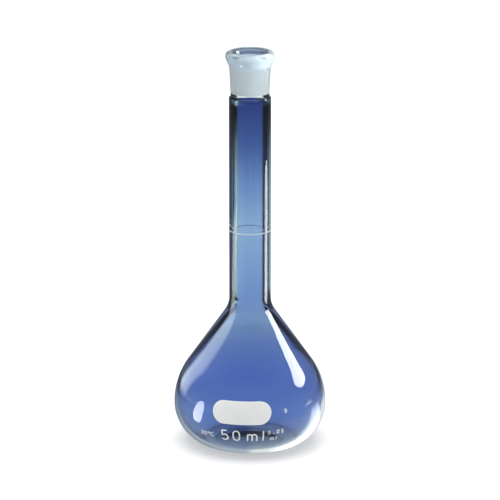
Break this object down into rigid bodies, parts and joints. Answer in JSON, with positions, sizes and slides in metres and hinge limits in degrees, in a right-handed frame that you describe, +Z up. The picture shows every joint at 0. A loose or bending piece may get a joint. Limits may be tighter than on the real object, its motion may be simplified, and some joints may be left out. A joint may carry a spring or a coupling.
{
  "type": "volumetric flask",
  "caption": "Pear-shaped glass volumetric flask with a long neck, a capacity ring, a ground stopper socket, a rolled lip and enamel markings, holding a blue solution.",
  "frame": {"origin": "middle of the base, on the surface that the flask stands on", "axes": "+Z up the neck; the marking patch faces -Y, turned a little towards -X"},
  "size_m": [0.05, 0.0501, 0.131],
  "materials": {
    "borosilicate_glass": "clear fire-polished borosilicate glass",
    "ground_glass": "clear outside, fine-ground matt bore",
    "blue_solution": "clear blue aqueous solution",
    "white_enamel": "fired white enamel, slightly rough"
  },
  "bodies": {
    "root": {"bulb": "borosilicate_glass", "neck_tube": "borosilicate_glass", "ground_socket": "ground_glass", "rolled_lip": "borosilicate_glass", "blue_solution": "blue_solution", "graduation_mark": "white_enamel", "marking_patch": "white_enamel", "capacity_number": "white_enamel", "capacity_unit": "white_enamel", "tolerance_mark": "white_enamel", "temperature_mark": "white_enamel", "stopper_size_mark": "white_enamel"}
  },
  "joints": []
}
